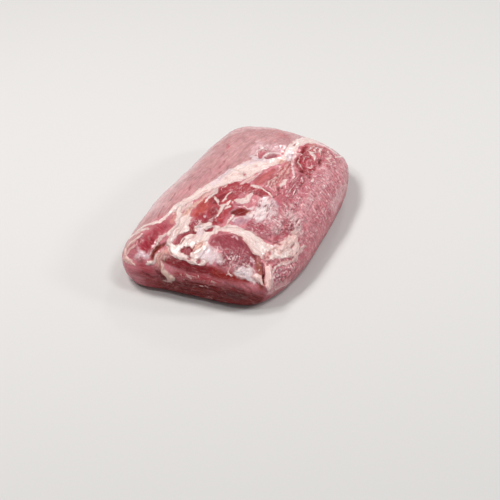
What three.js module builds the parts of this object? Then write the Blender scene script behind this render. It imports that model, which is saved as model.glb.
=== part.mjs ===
// A raw churrasco joint: one thick, boneless piece of raw meat lying on its flat underside.
// Millimetres, +Z up. The origin is the middle of the underside and +X runs along the piece.
// The end at -X is a steep cut face. The other end and the sides are rounded muscle.
import * as THREE from "three";

// Driving dimensions
const LENGTH = 230;
const WIDTH = 154;
const THICKNESS = 50; // without the muscles' own swell
const BULGE_HEIGHT = 17; // where the sides stand out furthest
const TUCK = 8; // how far the underside's edge lies inside the widest outline

// Mesh density, in cells
const CELLS_ALONG = 72;
const CELLS_ACROSS = 52;
const UNDER_ROWS = 4;
const OUTLINE_STEPS = 720;

// Stations round the widest outline, seen from above and counterclockwise. Each has its place, in shares
// of half the length and half the width, the height where the top turns down to the side there, and how
// sharp that turn is: 5 is a round shoulder, 13 a cut edge.
const STATIONS = [
  [0.99, 0.02, 42, 5],
  [0.99, 0.38, 42, 5],
  [0.88, 0.71, 42, 5],
  [0.54, 0.84, 43, 5],
  [0.13, 0.92, 41, 5],
  [-0.27, 1.0, 41, 5],
  [-0.63, 1.0, 38, 5],
  [-0.89, 0.94, 35, 5],
  [-1.0, 0.74, 33, 6],
  [-1.0, 0.42, 34, 9],
  [-0.98, 0.0, 37, 13],
  [-0.97, -0.37, 35, 13],
  [-0.9, -0.68, 26, 9],
  [-0.71, -0.87, 25, 7],
  [-0.41, -0.97, 30, 6],
  [-0.05, -0.99, 33, 6],
  [0.29, -0.98, 35, 6],
  [0.6, -0.92, 37, 5],
  [0.84, -0.76, 34, 4],
  [0.96, -0.47, 37, 4],
];

// Muscles that swell out of the surface: middle, half-sizes, turn in degrees and rise. The swell fades
// out at SWELL_REACH half-sizes from the middle.
const SWELL_REACH = 1.25;
const MUSCLES = [
  { name: "long pale muscle", at: [10, 44], size: [88, 22], turn: -6, rise: 2.0 },
  { name: "round muscle by the cut face", at: [-80, -22], size: [18, 23], turn: 0, rise: 2.6 },
  { name: "corner muscle over the cut face", at: [-92, 46], size: [22, 16], turn: -10, rise: 2.8 },
  { name: "middle red muscle", at: [-42, 3], size: [24, 9], turn: 8, rise: 1.6 },
  { name: "curled muscle", at: [66, -38], size: [24, 14], turn: -6, rise: 2.6 },
  { name: "side muscle", at: [4, -58], size: [60, 14], turn: 0, rise: 1.6 },
];

// Grooves where muscles meet, as a line over the top, with the groove's width and depth.
const GROOVES = [
  { name: "split beside the fat strip", width: 7, depth: 3.0, path: [[-108, -61], [-96, -56], [-78, -50]] },
  { name: "split at the corner muscle", width: 7, depth: 3.0, path: [[-118, 37], [-104, 38], [-90, 35]] },
  { name: "hollow in the middle", width: 14, depth: 3.0, path: [[-46, -13], [-38, -15], [-32, -14]] },
  { name: "cleft by the curled muscle", width: 10, depth: 2.0, path: [[26, -38], [36, -42], [46, -46]] },
  { name: "step below the fat seam", width: 16, depth: 1.4, path: [[-64, 38], [-34, 22], [-6, -4], [42, -25]] },
  { name: "dip behind the round muscle", width: 12, depth: 1.4, path: [[-66, -2], [-64, -24], [-68, -44]] },
];

// Raised strips of fat and sinew, in the same way.
const STRIPS = [
  { name: "fat strip", width: 6, rise: 1.8, path: [[-100, -65], [-90, -60], [-76, -57]] },
  { name: "fat rim of the corner muscle", width: 6, rise: 1.2, path: [[-110, 62], [-102, 64], [-90, 59]] },
];

const TURN = 2 * Math.PI;
const halfLength = LENGTH / 2;
const halfWidth = WIDTH / 2;

// The outline and, along with it, the shoulder's height and sharpness, as smooth closed curves.
const closedCurve = (points) => new THREE.CatmullRomCurve3(points, true).getPoints(OUTLINE_STEPS);
const outline = closedCurve(
  STATIONS.map(([x, y]) => new THREE.Vector3(x * halfLength, y * halfWidth, 0)),
);
const shoulders = closedCurve(
  STATIONS.map(([, , height, sharpness]) => new THREE.Vector3(height, sharpness, 0)),
);

const angleOf = (x, y) => (Math.atan2(y, x) - Math.atan2(outline[0].y, outline[0].x) + 2 * TURN) % TURN;
const outlineAngles = outline.map(({ x, y }, i) => (i < OUTLINE_STEPS ? angleOf(x, y) : TURN));

// The outline and the shoulder in the direction of (x, y).
function edgeTowards(x, y) {
  const angle = angleOf(x, y);
  const next = outlineAngles.findIndex((other, i) => i > 0 && other >= angle);
  const share = (angle - outlineAngles[next - 1]) / (outlineAngles[next] - outlineAngles[next - 1]);
  const place = outline[next - 1].clone().lerp(outline[next], share);
  const shoulder = shoulders[next - 1].clone().lerp(shoulders[next], share);
  return { x: place.x, y: place.y, height: shoulder.x, sharpness: shoulder.y };
}

// A smooth hump, 1 at 0 and gone at 1.
const hump = (t) => (t >= 1 ? 0 : (1 - t * t) ** 2);

function muscleRise(x, y) {
  let height = 0;
  for (const { at, size, turn, rise } of MUSCLES) {
    const angle = (turn * TURN) / 360;
    const dx = x - at[0];
    const dy = y - at[1];
    const along = (dx * Math.cos(angle) + dy * Math.sin(angle)) / size[0];
    const across = (dy * Math.cos(angle) - dx * Math.sin(angle)) / size[1];
    height += rise * hump(Math.hypot(along, across) / SWELL_REACH);
  }
  return height;
}

function distanceToPath(x, y, path) {
  let nearest = Infinity;
  for (let i = 1; i < path.length; i++) {
    const [ax, ay] = path[i - 1];
    const [bx, by] = path[i];
    const lengthSquared = (bx - ax) ** 2 + (by - ay) ** 2;
    const t = Math.min(1, Math.max(0, ((x - ax) * (bx - ax) + (y - ay) * (by - ay)) / lengthSquared));
    nearest = Math.min(nearest, Math.hypot(x - ax - t * (bx - ax), y - ay - t * (by - ay)));
  }
  return nearest;
}

function relief(x, y) {
  let height = muscleRise(x, y);
  for (const { path, width, depth } of GROOVES) height -= depth * hump(distanceToPath(x, y, path) / width);
  for (const { path, width, rise } of STRIPS) height += rise * hump(distanceToPath(x, y, path) / width);
  return height;
}

// A point of the surface above the widest outline: reach is 0 at the middle and 1 at the outline.
function upperPoint(edge, reach) {
  const x = edge.x * reach;
  const y = edge.y * reach;
  const top = edge.height + (THICKNESS - edge.height) * (1 - reach ** 2) + relief(x, y);
  const turn = Math.sqrt(1 - reach ** edge.sharpness);
  return new THREE.Vector3(x, y, BULGE_HEIGHT + (top - BULGE_HEIGHT) * turn);
}

// A point of the side below the widest outline: drop is 0 at the outline and 1 at the underside.
function lowerPoint(edge, drop) {
  const inset = 1 - (TUCK * (1 - Math.sqrt(1 - drop ** 2))) / Math.hypot(edge.x, edge.y);
  return new THREE.Vector3(edge.x * inset, edge.y * inset, BULGE_HEIGHT * (1 - drop));
}

function buildSteak() {
  const positions = [];
  const triangles = [];
  const add = (point) => positions.push(point.x, point.y, point.z) / 3 - 1;

  // The upper surface is a grid, bent so that its border is the outline.
  const grid = [];
  for (let j = 0; j <= CELLS_ACROSS; j++) {
    grid.push([]);
    for (let i = 0; i <= CELLS_ALONG; i++) {
      const a = (2 * i) / CELLS_ALONG - 1;
      const b = (2 * j) / CELLS_ACROSS - 1;
      const ring = Math.max(Math.abs(a), Math.abs(b));
      grid[j].push(add(upperPoint(edgeTowards(a * halfLength, b * halfWidth), Math.sin((ring * TURN) / 4))));
    }
  }
  for (let j = 0; j < CELLS_ACROSS; j++) {
    for (let i = 0; i < CELLS_ALONG; i++) {
      const [p, q, r, s] = [grid[j][i], grid[j][i + 1], grid[j + 1][i + 1], grid[j + 1][i]];
      triangles.push(p, q, r, p, r, s);
    }
  }

  // Its border, counterclockwise, and the rows that lead from it down to the underside.
  const border = [
    ...grid[0],
    ...grid.slice(1).map((row) => row[CELLS_ALONG]),
    ...grid[CELLS_ACROSS].slice(0, -1).reverse(),
    ...grid.slice(1, -1).map((row) => row[0]).reverse(),
  ];
  const edges = border.map((index) => edgeTowards(positions[3 * index], positions[3 * index + 1]));
  let above = border;
  for (let row = 1; row <= UNDER_ROWS; row++) {
    const drop = Math.sin((row / UNDER_ROWS) * (TURN / 4));
    const below = edges.map((edge) => add(lowerPoint(edge, drop)));
    above.forEach((point, k) => {
      const next = (k + 1) % above.length;
      triangles.push(point, below[k], below[next], point, below[next], above[next]);
    });
    above = below;
  }

  // The flat underside.
  const rim = above.map((index) => new THREE.Vector2(positions[3 * index], positions[3 * index + 1]));
  for (const [p, q, r] of THREE.ShapeUtils.triangulateShape(rim, [])) {
    triangles.push(above[p], above[r], above[q]);
  }

  const geometry = new THREE.BufferGeometry();
  geometry.setAttribute("position", new THREE.Float32BufferAttribute(positions, 3));
  geometry.setIndex(triangles);
  geometry.computeBoundingBox();
  const { min, max } = geometry.boundingBox;
  geometry.translate(-(min.x + max.x) / 2, -(min.y + max.y) / 2, -min.z);
  geometry.computeVertexNormals();
  return geometry;
}

const rawMeat = new THREE.MeshStandardMaterial({ color: "#c0666b", roughness: 0.4, metalness: 0 });

const joint = new THREE.Group();
const steak = new THREE.Mesh(buildSteak(), rawMeat);
steak.name = "steak";
joint.add(steak);

export default joint;
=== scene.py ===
# Raw churrasco joint: one thick, boneless piece of raw meat, lying on its flat underside.
# Sizes are in millimetres unless a name says otherwise. +X runs along the piece from its cut face to
# its rounded end, +Y across it towards the smooth pale muscle, and +Z up.
import math

import bmesh
import bpy
import numpy as np
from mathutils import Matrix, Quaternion, Vector, noise
from mathutils.bvhtree import BVHTree


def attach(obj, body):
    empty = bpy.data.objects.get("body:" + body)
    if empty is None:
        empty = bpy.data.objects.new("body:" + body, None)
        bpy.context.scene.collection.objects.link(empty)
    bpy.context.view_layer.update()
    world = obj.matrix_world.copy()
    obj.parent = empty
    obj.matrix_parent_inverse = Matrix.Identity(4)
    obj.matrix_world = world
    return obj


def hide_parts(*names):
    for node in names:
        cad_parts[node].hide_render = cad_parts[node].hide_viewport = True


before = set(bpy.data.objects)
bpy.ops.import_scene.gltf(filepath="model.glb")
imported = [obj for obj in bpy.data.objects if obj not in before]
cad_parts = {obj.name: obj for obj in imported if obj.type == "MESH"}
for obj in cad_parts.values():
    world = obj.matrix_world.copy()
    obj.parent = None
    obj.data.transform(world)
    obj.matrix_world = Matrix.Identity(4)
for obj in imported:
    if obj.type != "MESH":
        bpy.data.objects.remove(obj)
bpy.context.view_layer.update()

# Camera
# It stands about a metre off the cut face and looks down on it and on the near long side.
MM = 0.001
CAMERA_PLACE = Vector((-762.7, -361.3, 665.1)) * MM
CAMERA_AIM = Vector((-33.5, -17.6, 0)) * MM
CAMERA_ROLL = math.radians(-2.74)
camera = bpy.data.objects.new("camera", bpy.data.cameras.new("camera"))
bpy.context.scene.collection.objects.link(camera)
camera.data.sensor_width = 36
camera.data.lens = 85.7
camera.location = CAMERA_PLACE
camera.rotation_mode = "QUATERNION"
turned = Quaternion((0, 0, 1), CAMERA_ROLL)
camera.rotation_quaternion = (CAMERA_AIM - CAMERA_PLACE).to_track_quat("-Z", "Y") @ turned
bpy.context.scene.camera = camera


# Floor and studio light
# A plain matt sheet carries the piece. One soft light hangs to its left and one over its near side, three
# small ones give the wet skin its glints, and the pale room fills in the rest.
def rgb(colour):
    """A hex colour, read as sRGB, as linear red, green and blue."""
    parts = [int(colour[i : i + 2], 16) / 255 for i in (1, 3, 5)]
    return [p / 12.92 if p <= 0.04045 else ((p + 0.055) / 1.055) ** 2.4 for p in parts]


def add_node(tree, kind, settings=(), **links):
    """A node with its settings. Each link is a value or an output, for the input of that name or number."""
    made = tree.nodes.new(kind)
    for name, value in dict(settings).items():
        setattr(made, name, value)
    for name, value in links.items():
        socket = made.inputs[int(name[1:])] if name[1:].isdigit() else made.inputs[name.replace("_", " ")]
        if isinstance(value, bpy.types.NodeSocket):
            tree.links.new(value, socket)
        else:
            socket.default_value = value
    return made


def add_light(name, place, size, watts, colour):
    lamp = bpy.data.objects.new(name, bpy.data.lights.new(name, "AREA"))
    lamp.data.size = size
    lamp.data.energy = watts
    lamp.data.color = rgb(colour)
    lamp.location = place
    lamp.rotation_mode = "QUATERNION"
    lamp.rotation_quaternion = (-Vector(place)).to_track_quat("-Z", "Y")
    bpy.context.scene.collection.objects.link(lamp)


FLOOR_SIZE = 8.0
FLOOR_GAP = 0.3
floor_form = bmesh.new()
bmesh.ops.create_grid(floor_form, x_segments=2, y_segments=2, size=FLOOR_SIZE / 2)
bmesh.ops.translate(floor_form, verts=floor_form.verts, vec=(0, 0, -FLOOR_GAP * MM))
floor_mesh = bpy.data.meshes.new("floor")
floor_form.to_mesh(floor_mesh)
floor_form.free()
floor = bpy.data.objects.new("floor", floor_mesh)
bpy.context.scene.collection.objects.link(floor)
paper = bpy.data.materials.new("matt white paper")
paper.use_nodes = True
paper.node_tree.nodes["Principled BSDF"].inputs["Base Color"].default_value = (*rgb("#d2d0ce"), 1)
paper.node_tree.nodes["Principled BSDF"].inputs["Roughness"].default_value = 0.9
floor_mesh.materials.append(paper)

add_light("key", (0.05, 0.65, 1.2), 0.35, 9.2, "#fffdfa")
add_light("overhead", (0.2, -0.6, 1.25), 0.4, 6.2, "#ffffff")
add_light("glints on the top", (1.25, 0.15, 0.75), 0.12, 2.2, "#ffffff")
add_light("glints on the near side", (0.5, -1.05, 0.6), 0.15, 3.6, "#ffffff")
add_light("glints by the cut face", (-0.38, 0.51, 1.0), 0.15, 3.0, "#ffffff")

room = bpy.data.worlds.new("room")
room.use_nodes = True
room.node_tree.nodes["Background"].inputs["Color"].default_value = (*rgb("#f4f4f6"), 1)
room.node_tree.nodes["Background"].inputs["Strength"].default_value = 0.26
bpy.context.scene.world = room
bpy.context.scene.view_settings.view_transform = "Standard"

# The meat
# Several muscles grown together, with fat and sinew between them, cut off square at one end. The CAD
# solid gives its form. It is skinned with small even faces, finer where it shows.
VOXEL = 1.75
MERGE = 0.01
UNDERSIDE_HEIGHT = 2.5
meat = bpy.data.objects.new("meat_joint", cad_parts["steak"].data.copy())
bpy.context.scene.collection.objects.link(meat)
meat.data.materials.clear()


def apply_modifiers(obj):
    made = bpy.data.meshes.new_from_object(obj.evaluated_get(bpy.context.evaluated_depsgraph_get()))
    obj.modifiers.clear()
    obj.data = made


form = bmesh.new()
form.from_mesh(meat.data)
bmesh.ops.remove_doubles(form, verts=form.verts, dist=MERGE * MM)
form.to_mesh(meat.data)
form.free()
skin = meat.modifiers.new("skin", "REMESH")
skin.mode = "VOXEL"
skin.voxel_size = VOXEL * MM
apply_modifiers(meat)

form = bmesh.new()
form.from_mesh(meat.data)
shown = [f for f in form.faces if f.calc_center_median().z > UNDERSIDE_HEIGHT * MM]
finer = list({edge for f in shown for edge in f.edges})
bmesh.ops.subdivide_edges(form, edges=finer, cuts=1, use_grid_fill=True)
bmesh.ops.triangulate(form, faces=[f for f in form.faces if len(f.verts) > 4])
form.to_mesh(meat.data)
form.free()
smooth = meat.modifiers.new("smooth", "SMOOTH")
smooth.factor = 0.5
smooth.iterations = 8
apply_modifiers(meat)
meat.data.shade_smooth()

places = np.empty(len(meat.data.vertices) * 3)
meat.data.vertices.foreach_get("co", places)
places = places.reshape(-1, 3) / MM
facing = np.empty(places.size)
meat.data.vertex_normals.foreach_get("vector", facing)
facing = facing.reshape(-1, 3)
surface = BVHTree.FromPolygons([Vector(p) for p in places], [f.vertices for f in meat.data.polygons])


def mottle(size, octaves=3, shift=0.0, at=places):
    """Perlin noise at each point of the skin, about -1 to 1, with spots of that size."""
    return np.array([noise.fractal(Vector(p), 1.0, 2.0, octaves) for p in at / size + shift])


def ease(low, high, values):
    """0 below low, 1 above high and smooth between them."""
    t = np.clip((values - low) / (high - low), 0, 1)
    return t * t * (3 - 2 * t)


# The strokes that place each muscle, fat seam and fold are chains of (across, up, half-width), laid on the
# skin from one side. Their edges waver as real ones do. A stroke that runs off the piece is laid on the
# nearest part of its shoulder.
STEP = 2.5  # between the points of a stroke
MARGIN = 9  # how far round a stroke the skin is looked at
FAR = 300
SHOULDER = 40
NEXT_STROKE = 53.0  # along the threads' pattern, so that no two strokes look alike
LONG_WAVE, LONG_WAVER = 7, 1.6
SHORT_WAVE, SHORT_WAVER = 2.4, 0.5
waver = np.stack([mottle(LONG_WAVE, 2, shift) for shift in (10, 20, 30)], 1) * LONG_WAVER
waver += np.stack([mottle(SHORT_WAVE, 2, shift) for shift in (40, 50, 60)], 1) * SHORT_WAVER
waver -= facing * (waver * facing).sum(1)[:, None]
wavering = places + waver


def lay(view, across, up):
    """The point of the skin that is seen there from that side."""
    start, aim = {
        "top": ((across, up, FAR), (0, 0, -1)),
        "cut face": ((-FAR, across, up), (1, 0, 0)),
        "near side": ((across, -FAR, up), (0, 1, 0)),
        "far side": ((across, FAR, up), (0, -1, 0)),
        "rounded end": ((FAR, across, up), (-1, 0, 0)),
        "underside": ((across, up, -FAR), (0, 0, 1)),
    }[view]
    hit = surface.ray_cast(Vector(start), Vector(aim))[0]
    return hit or surface.find_nearest(Vector(start) + Vector(aim) * (FAR - SHOULDER))[0]


def reach(chains, view="top"):
    """How far each point of the skin lies inside the strokes, below 0 outside them and down to -MARGIN, and
    its places along and across the nearest stroke."""
    depth = np.full(len(places), -float(MARGIN))
    strand = np.zeros((len(places), 2))
    for number, chain in enumerate(chains):
        points = []
        for (a, b, r), (c, d, s) in zip(chain, chain[1:] or chain):
            steps = max(1, round(math.hypot(c - a, d - b) / STEP))
            for i in range(steps):
                t = i / steps
                points.append((*lay(view, a + (c - a) * t, b + (d - b) * t), r + (s - r) * t))
        points.append((*lay(view, *chain[-1][:2]), chain[-1][2]))
        walked = NEXT_STROKE * number
        for p, q in zip(points, points[1:]):
            start, end = np.array(p[:3]), np.array(q[:3])
            wide = max(p[3], q[3]) + MARGIN
            box = (np.minimum(start, end) - wide, np.maximum(start, end) + wide)
            near = np.flatnonzero(np.all((wavering > box[0]) & (wavering < box[1]), 1))
            along = wavering[near] - start
            span = end - start
            length = max(np.linalg.norm(span), 0.001)
            t = np.clip(along @ span / length**2, 0, 1)
            away = along - t[:, None] * span
            distance = np.linalg.norm(away, axis=1)
            here = p[3] + t * (q[3] - p[3]) - distance
            side = np.sign((np.cross(span, away) * facing[near]).sum(1))
            closer = here > depth[near]
            depth[near[closer]] = here[closer]
            strand[near[closer]] = np.c_[walked + t * length, side * distance][closer]
            walked += length
    return depth, strand


# Muscles
# Each is a bundle of fibres with its own colour and run. The harder-worked ones are darker. The fibres run
# at an angle from +X, or along the strokes where none is given.
PALE = "#bd8c8d"
ROSE = "#c4777f"
MUSCLES = [
    # colour, angle, softness of the edge, side, strokes
    ("#bb6a73", 80, 6, "near side", [[(-90, 20, 14), (0, 24, 16), (95, 24, 16)]]),
    # lean low on the near side, painted darker towards the floor as painted shade
    ("#a9505a", -5, 5, "near side", [[(-92, 6, 5), (-40, 6, 6), (20, 6, 7), (80, 6, 6)]]),
    ("#cd898f", 80, 6, "near side", [[(-14, 38, 6), (30, 40, 8), (80, 38, 7)]]),
    (PALE, -8, 4, "top", [[(-70, 64, 10), (-20, 53, 21), (30, 43, 25), (72, 24, 27), (100, 8, 18)]]),
    (PALE, -8, 3, "top", [
        [(-58, 46, 5), (-33, 36, 6), (-10, 24, 8), (14, 14, 10), (36, 4, 12), (60, -6, 10), (100, -14, 8)],
    ]),
    (PALE, -4, 5, "far side", [[(-80, 20, 22), (100, 20, 22)]]),
    (PALE, 0, 5, "rounded end", [[(50, 18, 22), (-10, 20, 20)]]),
    # lighter pale lean along the far edge and at the far end, a painted sheen
    ("#cba3a4", -8, 9, "top", [[(-50, 62, 9), (10, 60, 9)], [(96, 34, 9)]]),
    ("#bb7b7d", -8, 7, "top", [[(84, -2, 7), (96, 6, 7)]]),
    ("#c0888b", -8, 5, "top", [[(-40, 45, 4), (-8, 34, 4), (14, 25, 4)]]),
    ("#b96f74", -8, 1.5, "top", [[(35, 32, 0.4), (41, 35, 1.6), (47, 38, 1)]]),
    # the corner muscle over the cut face
    ("#ae5d65", 60, 4, "top", [[(-106, 60, 6), (-90, 56, 6)], [(-78, 44, 7), (-66, 37, 4)]]),
    ("#a5424d", 60, 5, "top", [[(-98, 49, 8), (-88, 48, 7), (-78, 42, 5)]]),
    ("#8f2431", 60, 4, "top", [[(-99, 48, 4), (-93, 47, 5)]]),
    ("#ca8880", 0, 3, "top", [[(-68, 38, 2), (-58, 37, 3)]]),
    ("#c2757c", 0, 4, "top", [[(-82, 57, 4), (-78, 54, 4)]]),
    # the round muscle and the skins on its lower half
    ("#95444e", 55, 1, "top", [[(-81, -12, 7), (-79, -22, 11), (-84, -38, 9)], [(-95, -22, 7)]]),
    ("#883843", 55, 3, "top", [[(-77, -12, 4), (-73, -20, 4), (-76, -31, 3)]]),
    ("#8a4038", 55, 1.5, "top", [[(-97, -56, 1.4), (-90, -52, 2.4), (-81, -48, 2.6)]]),
    # the dark lean that shows through gaps in the fat
    ("#8a2a35", 0, 3, "top", [[(-96, 20, 8), (-90, 12, 12), (-76, 10, 11), (-66, 10, 9)]]),
    ("#a2434c", 0, 2, "top", [[(-68, 17, 4), (-58, 15, 5)]]),
    # the red muscles in the middle
    ("#a03840", -25, 1, "top", [
        [(-59, 1, 5), (-48, 4, 10), (-30, 7, 12), (-14, 4, 9), (-10, -8, 7), (-11, -24, 5)],
    ]),
    ("#ab443e", -10, 4, "top", [[(-56, 21, 4), (-47, 19, 6), (-38, 21, 4)], [(-28, 22, 2)]]),
    ("#84222b", -25, 2, "top", [[(-57, 4, 3), (-48, 8, 3)], [(-38, 11, 3), (-26, 8, 3)], [(-22, 2, 2)]]),
    ("#b1595b", -20, 1, "top", [[(1, -13, 4), (12, -15, 4), (24, -18, 2)]]),
    ("#822831", 0, 2, "top", [[(0, -20, 1), (14, -20, 1)], [(-14, -14, 1.5), (-16, -24, 1.5)]]),
    ("#b05c5b", 8, 3, "top", [[(4, -25, 5), (25, -27, 6), (44, -25, 3)]]),
    ("#a3404f", -75, 2, "top", [[(-51, -28, 4), (-50, -36, 6), (-51, -44, 4)]]),
    ("#a44450", 10, 2, "top", [[(-56, -52, 2), (-44, -54, 4), (-33, -55, 4), (-34, -62, 2)]]),
    ("#b25c66", 70, 4, "top", [[(-40, -46, 5), (-22, -44, 6), (-8, -40, 7)], [(-78, -65, 5)]]),
    ("#aa525d", 5, 4, "top", [[(0, -42, 6), (30, -44, 5)]]),
    ("#b6646e", 75, 4, "top", [[(-10, -50, 4), (24, -52, 4), (46, -54, 3)]]),
    # the curled muscles at the rounded end
    ("#962a35", None, 1, "top", [
        [(36, -46, 3), (41, -37, 5), (50, -33, 5), (58, -36, 4)],
        [(40, -46, 3), (54, -43, 4)],
    ]),
    ("#aa444c", None, 1, "top", [
        [(60, -30, 3.4), (70, -29, 4), (80, -29, 4.4), (90, -31, 4.4)],
        [(62, -34, 4), (78, -35, 5), (90, -37, 4)],
    ]),
    ("#bd6b66", None, 2, "top", [[(82, -29, 2.4), (91, -31, 2.4)]]),
    ("#b4555e", 25, 3, "top", [[(58, -46, 5), (74, -45, 6), (90, -42, 6)]]),
    ("#b4626a", 25, 4, "top", [[(60, -56, 4), (76, -54, 4), (90, -50, 4)]]),
    ("#cc858b", 75, 5, "top", [[(64, -66, 5), (86, -61, 5), (100, -50, 5)]]),
    ("#8a2a33", None, 1, "top", [
        [(59, -29.5, 1.6), (66, -28, 1.2), (76, -26.6, 0.8)],
        [(73, -42.5, 0.6), (86, -43.5, 1)],
    ]),
    ("#7e262e", None, 1, "top", [
        [(55, -49.5, 1.2), (61, -47.5, 1.2), (68, -46, 0.8)],
        [(42, -33, 1), (50, -29.6, 1)],
    ]),
    # bruised and thinly covered patches, and a dark hollow
    ("#b5848f", 0, 2, "top", [[(-52, -17, 5), (-49, -20, 4)], [(-97, -16, 2)]]),
    ("#a2606f", 0, 2, "top", [[(-18, -37, 3)]]),
    # the hollow, painted very dark red, with an orange lower edge
    ("#701716", -30, 1.5, "top", [[(-43, -9, 3.4), (-39, -13, 5), (-36.5, -17, 3.6)]]),
    ("#a8543a", -30, 1.5, "top", [[(-40, -19, 1.2), (-36, -19.6, 1.2)]]),
    ("#cf8f84", 0, 2, "top", [[(40, -18, 2), (45, -19, 2)]]),
    # the cut face: dark lean, partly painted shade
    ("#96393f", 90, 5, "cut face", [[(44, 10, 12), (26, 10, 12)]]),
    # dark lean low on the cut face, darkened further as painted shade towards the floor
    ("#731112", 90, 5, "cut face", [[(20, 9, 12), (-10, 10, 14), (-34, 11, 14), (-52, 9, 9)]]),
    ("#a53d44", 90, 2.5, "cut face", [[(14, 25, 3), (0, 25.5, 3.4), (-22, 25, 3)]]),
    # dark lean under the edge of the fat sheet, darkened as painted shade under its overhang
    ("#7a1c22", 90, 2, "cut face", [[(26, 32, 3.6), (0, 32, 4.4), (-16, 32, 4.4)]]),
    ("#8a201c", 90, 3, "cut face", [[(-20, 32, 4.4), (-34, 30, 4), (-47, 26, 3)]]),
    ("#b96b74", 90, 5, "cut face", [[(62, 16, 8), (50, 10, 6)], [(52, 24, 4), (60, 26, 4)]]),
    ("#a0434c", 90, 4, "cut face", [[(46, 25, 4), (38, 22, 4)]]),
    # painted shadow beside the sinew flap, and the darkest lean low on the cut face, deepened as painted
    # shade
    ("#5f1418", 90, 3, "cut face", [
        [(33, 25, 1.6), (27, 21, 2), (23, 16, 1)],
        [(-34, 16, 4), (-42, 14, 4)],
    ]),
    # the rounded end
    ("#a84c55", 90, 4, "rounded end", [[(-48, 26, 6), (-46, 12, 7)]]),
    ("#b5626a", 90, 5, "rounded end", [[(-62, 18, 7)]]),
    ("#b5747a", 90, 5, "rounded end", [[(8, 10, 8), (30, 6, 6)]]),
    # the underside
    (PALE, -5, 4, "underside", [[(-90, 48, 14), (0, 44, 20), (90, 26, 24)]]),
    ("#a34851", 10, 3, "underside", [[(-90, 8, 16), (0, 0, 15), (50, -16, 12), (90, -22, 8)]]),
    ("#b25f67", -10, 3, "underside", [[(-84, -44, 16), (0, -50, 18), (80, -50, 14)]]),
]


def paint(under, colour, amount):
    return under * (1 - amount[:, None]) + np.array(rgb(colour)) * amount[:, None]


muscle_colour = np.tile(rgb(ROSE), (len(places), 1))
grain = places.copy()
# On the sides the fibres' pattern runs on downwards, as if the side were folded out flat.
DOWN_THE_SIDE = {
    "near side": (0, 1, -1),
    "far side": (0, -1, -1),
    "cut face": (1, 0, -1),
    "rounded end": (-1, 0, -1),
}
for colour, angle, softness, view, strokes in MUSCLES:
    inside, strand = reach(strokes, view)
    muscle_colour = paint(muscle_colour, colour, ease(-softness, softness, inside))
    if angle is None:
        fibre_places = np.c_[strand, places[:, 2] * 0]
    else:
        c, s = math.cos(math.radians(angle)), math.sin(math.radians(angle))
        unrolled = places + places[:, 2:] * DOWN_THE_SIDE.get(view, (0, 0, 0))
        fibre_places = unrolled @ np.array([[c, -s, 0], [s, c, 0], [0, 0, 1]])
    grain = np.where(inside[:, None] > 0, fibre_places, grain)
# Wide patches are lighter or darker, and small ones are redder or paler.
WIDE_PATCH, WIDE_SHADE = 9, 0.14
SMALL_PATCH, SMALL_SHADE = 3.2, np.array([0.05, 0.14, 0.12])
muscle_colour *= 1 + WIDE_SHADE * mottle(WIDE_PATCH, 3, 110)[:, None]
muscle_colour *= 1 + mottle(SMALL_PATCH, 2, 120)[:, None] * SMALL_SHADE

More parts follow.
